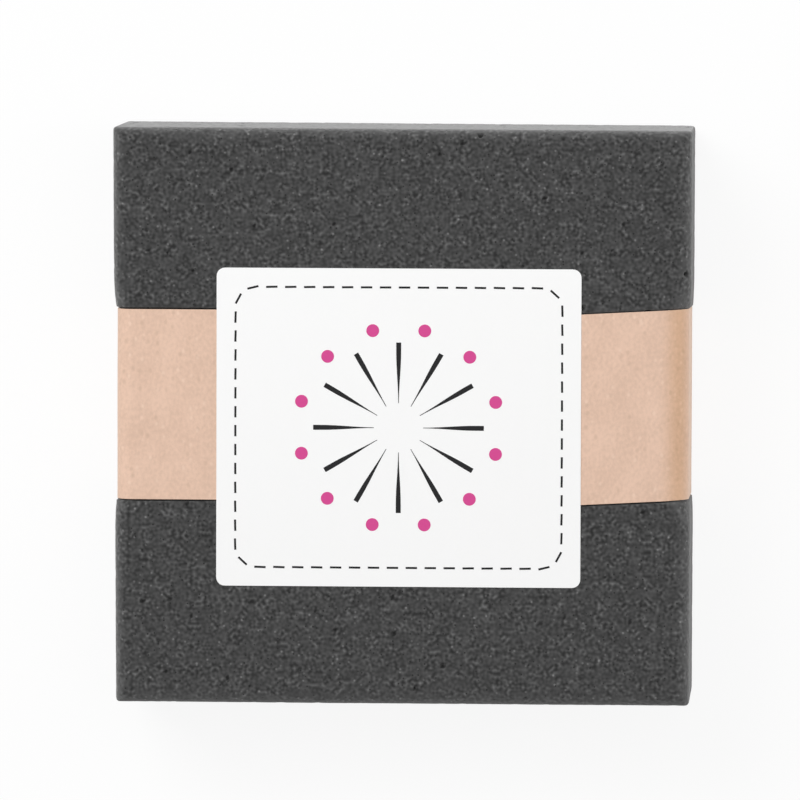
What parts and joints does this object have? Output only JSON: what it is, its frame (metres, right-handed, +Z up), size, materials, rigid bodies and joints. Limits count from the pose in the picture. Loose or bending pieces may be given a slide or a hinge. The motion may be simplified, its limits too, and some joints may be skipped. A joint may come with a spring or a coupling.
{
  "type": "needle felting mat",
  "caption": "Square block of fine-celled charcoal foam in a kraft paper band with a white paper label; a soft surface to pierce while needle felting.",
  "frame": {"origin": "centre of the foam's underside, on the surface that the mat lies on", "axes": "+Z up through the thickness towards the label, +X across the width that the band goes round, +Y along the length that the band slides on, towards the label's upper edge"},
  "size_m": [0.1524, 0.1524, 0.051],
  "materials": {
    "foam": "matte",
    "kraft_paper": "matte",
    "clear_tape": "satin",
    "label_paper": "satin",
    "adhesive": "satin"
  },
  "bodies": {
    "mat": {"foam_block": "foam"},
    "band": {"paper_band": "kraft_paper", "seam_tape": "clear_tape", "front_label": "label_paper", "label_adhesive": "adhesive"}
  },
  "joints": [
    {"name": "band_slide", "type": "slide", "parent": "mat", "child": "band", "axis": [0, 1, 0], "range_m": [-0.12, 0.125], "deforming": ["foam_block"]}
  ]
}
